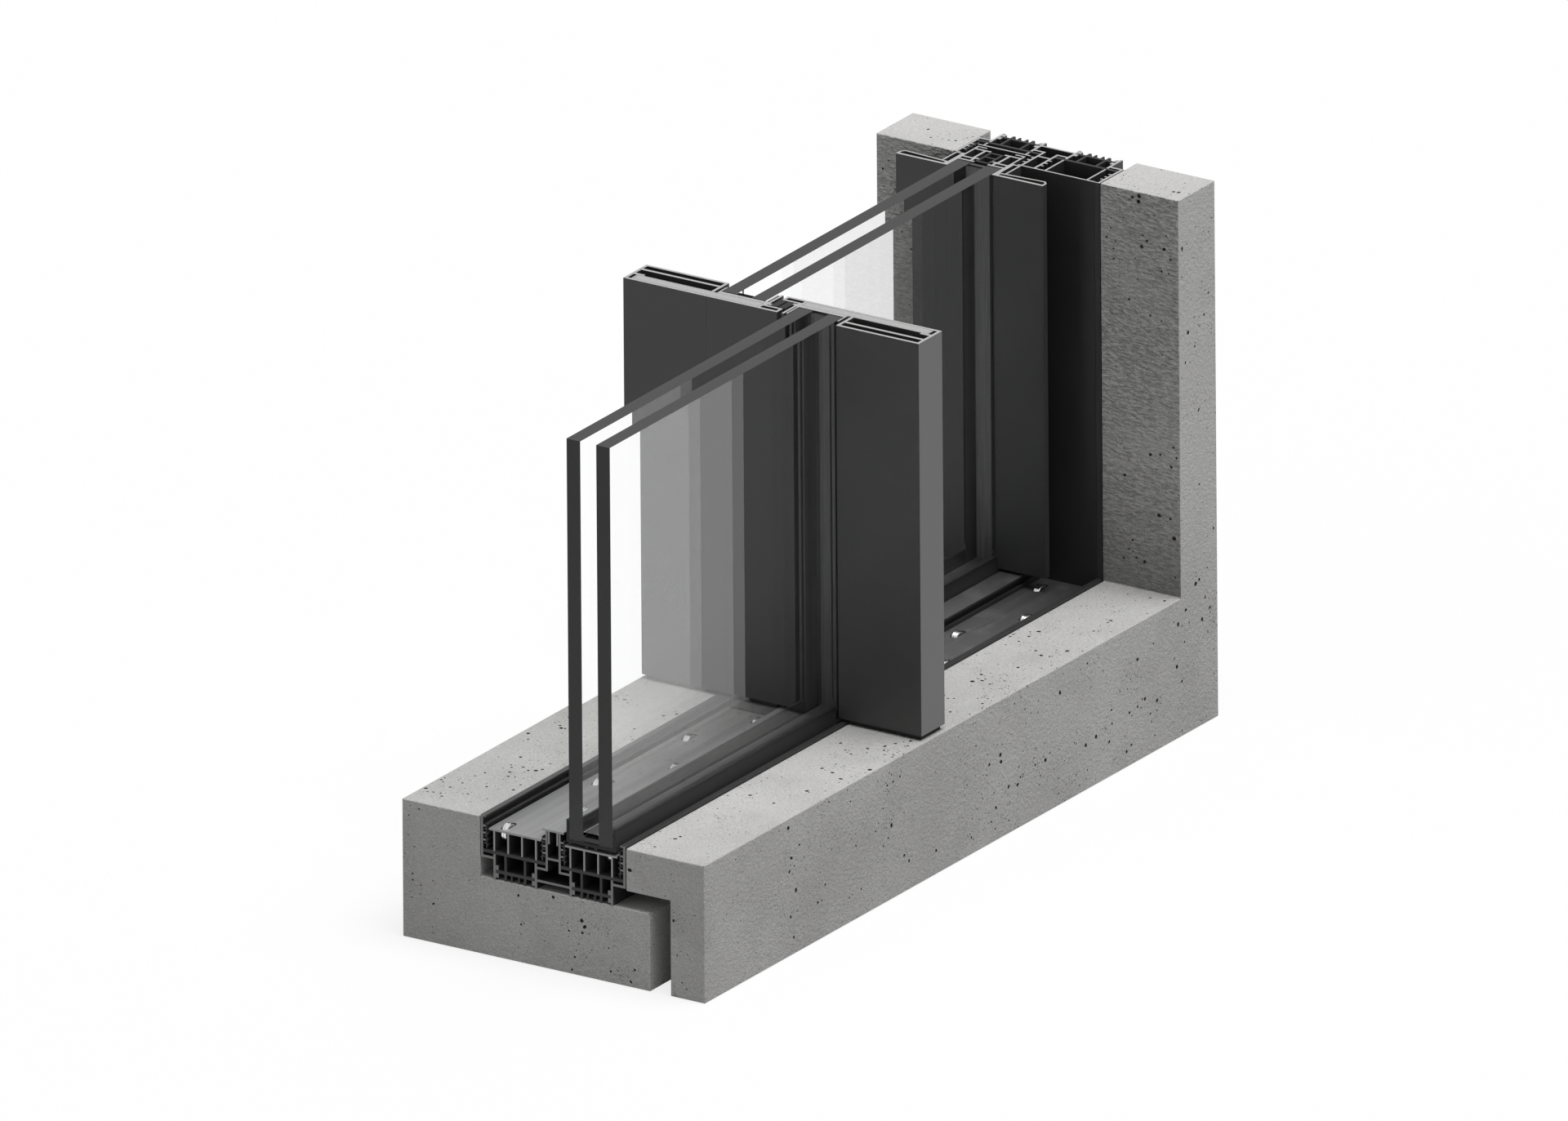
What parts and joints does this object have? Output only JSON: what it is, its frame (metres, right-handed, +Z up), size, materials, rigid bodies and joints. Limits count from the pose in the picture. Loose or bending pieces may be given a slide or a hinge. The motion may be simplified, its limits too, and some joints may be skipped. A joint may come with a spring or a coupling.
{
  "type": "horizontal sliding window section",
  "caption": "Cut-away sample of a slim two-track sliding window with double glazing, thermally broken frame and flush concrete surround.",
  "frame": {"origin": "middle of the underside, on the plane that the sample stands on", "axes": "+X along the slide from the cut end to the jamb, +Y towards the inner face of the wall, +Z up"},
  "size_m": [0.6984, 0.265, 0.4229],
  "materials": {
    "concrete": "matte",
    "mill_aluminium": "satin",
    "frame_metal": "satin",
    "thermal_plastic": "matte",
    "roller_steel": "polished",
    "glass": "polished",
    "spacer": "satin",
    "sash_metal": "satin",
    "bar_aluminium": "satin",
    "seal_rubber": "matte",
    "brush": "matte"
  },
  "bodies": {
    "root": {"inner_concrete": "concrete", "outer_concrete": "concrete", "sill_inner_deck": "mill_aluminium", "sill_outer_deck": "mill_aluminium", "jamb_inner_deck": "mill_aluminium", "sill_inner_flange": "frame_metal", "sill_outer_flange": "frame_metal", "sill_middle_rail": "frame_metal", "jamb_inner_flange": "frame_metal", "jamb_outer_flange": "frame_metal", "jamb_middle_rail": "frame_metal", "sill_rail_cap": "frame_metal", "jamb_outer_filler": "frame_metal", "sill_inner_thermal_block": "thermal_plastic", "sill_outer_thermal_block": "thermal_plastic", "jamb_inner_thermal_block": "thermal_plastic", "jamb_outer_thermal_block": "thermal_plastic", "lock_stile_bridge": "thermal_plastic", "sill_inner_rollers": "roller_steel", "sill_outer_rollers": "roller_steel", "inner_sash_inner_pane": "glass", "inner_sash_outer_pane": "glass", "outer_sash_inner_pane": "glass", "outer_sash_outer_pane": "glass", "inner_sash_spacer": "spacer", "outer_sash_spacer": "spacer", "inner_sash_bottom_rail": "sash_metal", "outer_sash_bottom_rail": "sash_metal", "inner_blade": "sash_metal", "outer_blade": "sash_metal", "inner_meeting_stile": "sash_metal", "outer_meeting_stile": "sash_metal", "lock_stile_inner_half": "sash_metal", "lock_stile_outer_half": "sash_metal", "inner_finger_pull": "sash_metal", "outer_finger_pull": "sash_metal", "inner_stiffening_bar": "bar_aluminium", "outer_stiffening_bar": "bar_aluminium", "inner_meeting_seal": "seal_rubber", "outer_meeting_seal": "seal_rubber", "inner_track_brush": "brush", "outer_track_brush": "brush", "inner_blade_brush": "brush", "outer_blade_brush": "brush"}
  },
  "joints": []
}
